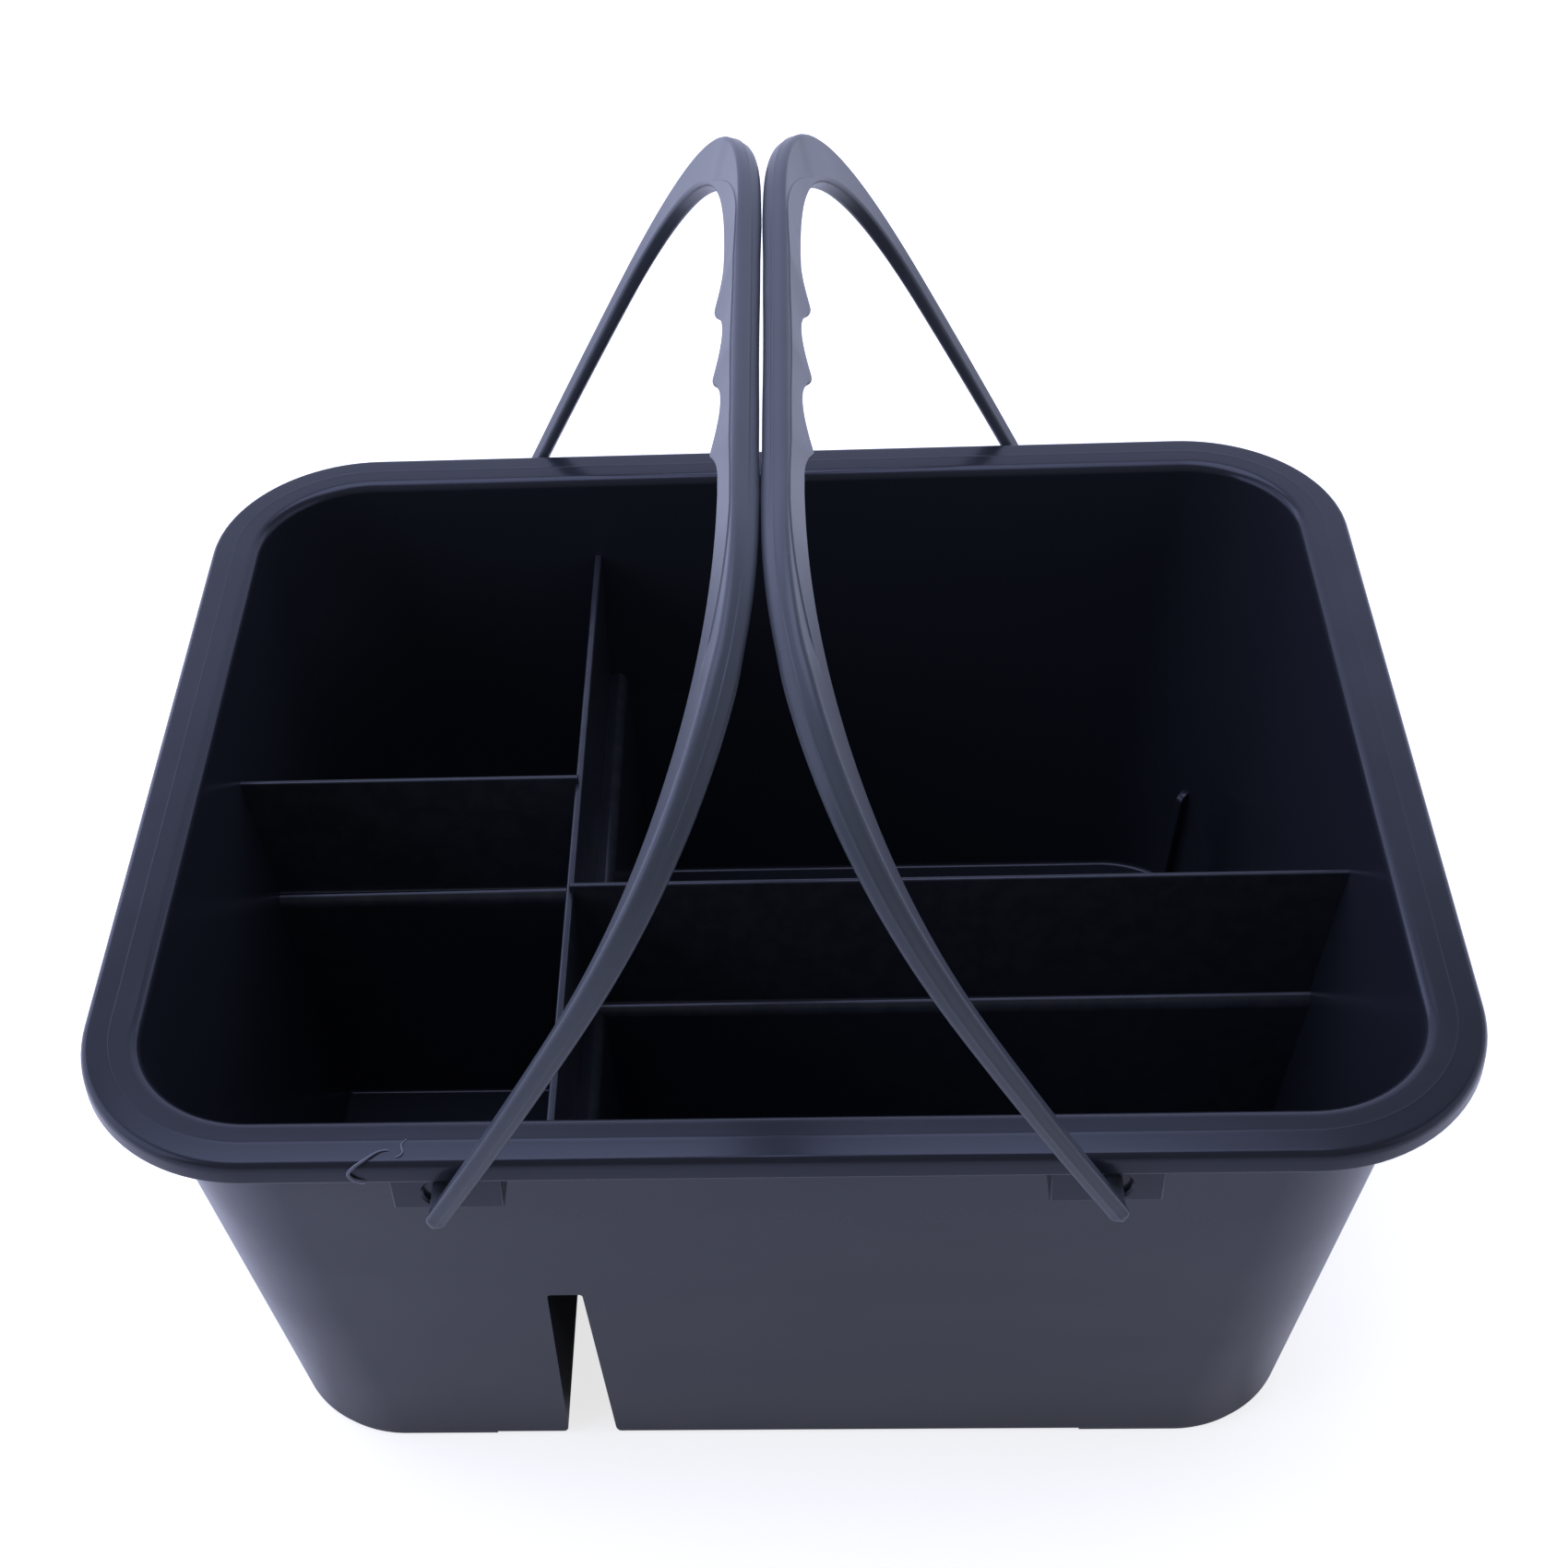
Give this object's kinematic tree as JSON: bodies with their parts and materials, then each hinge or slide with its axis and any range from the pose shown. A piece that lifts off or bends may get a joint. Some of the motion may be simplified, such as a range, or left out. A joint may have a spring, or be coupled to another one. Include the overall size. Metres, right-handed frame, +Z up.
{
  "type": "cleaning caddy",
  "caption": "Open moulded tub with a rolled rim, thin upright dividers on hollow bases, and folding bail handles with finger grooves that meet over its middle.",
  "frame": {"origin": "middle of the ground area under the four feet", "axes": "+X to the right across the width, with the narrow compartments on the -X side, +Y to the rear, +Z up"},
  "size_m": [0.324, 0.2892, 0.2718],
  "materials": {
    "tub_plastic": "satin moulded polypropylene, dark navy grey",
    "handle_plastic": "satin moulded polypropylene, blue grey"
  },
  "bodies": {
    "tub": {"tub_shell": "tub_plastic", "rim": "tub_plastic", "centre_base": "tub_plastic", "centre_web": "tub_plastic", "left_base": "tub_plastic", "left_web": "tub_plastic", "right_base": "tub_plastic", "right_web": "tub_plastic", "pad_front_left": "tub_plastic", "pad_front_right": "tub_plastic", "pad_rear_left": "tub_plastic", "pad_rear_right": "tub_plastic", "rib_front_left": "tub_plastic", "rib_front_right": "tub_plastic", "rib_rear_left": "tub_plastic", "rib_rear_right": "tub_plastic", "foot_front_left": "tub_plastic", "foot_front_right": "tub_plastic", "foot_rear_left": "tub_plastic", "foot_rear_right": "tub_plastic"},
    "handle_left": {"left_handle": "handle_plastic"},
    "handle_right": {"right_handle": "handle_plastic"}
  },
  "joints": [
    {"name": "left_handle_hinge", "type": "hinge", "parent": "tub", "child": "handle_left", "pos_m": [-0.0746, 0, 0.1373], "axis": [0, -1, 0], "range_deg": [0, 180]},
    {"name": "right_handle_hinge", "type": "hinge", "parent": "tub", "child": "handle_right", "pos_m": [0.0746, 0, 0.1373], "axis": [0, 1, 0], "range_deg": [0, 180]}
  ]
}
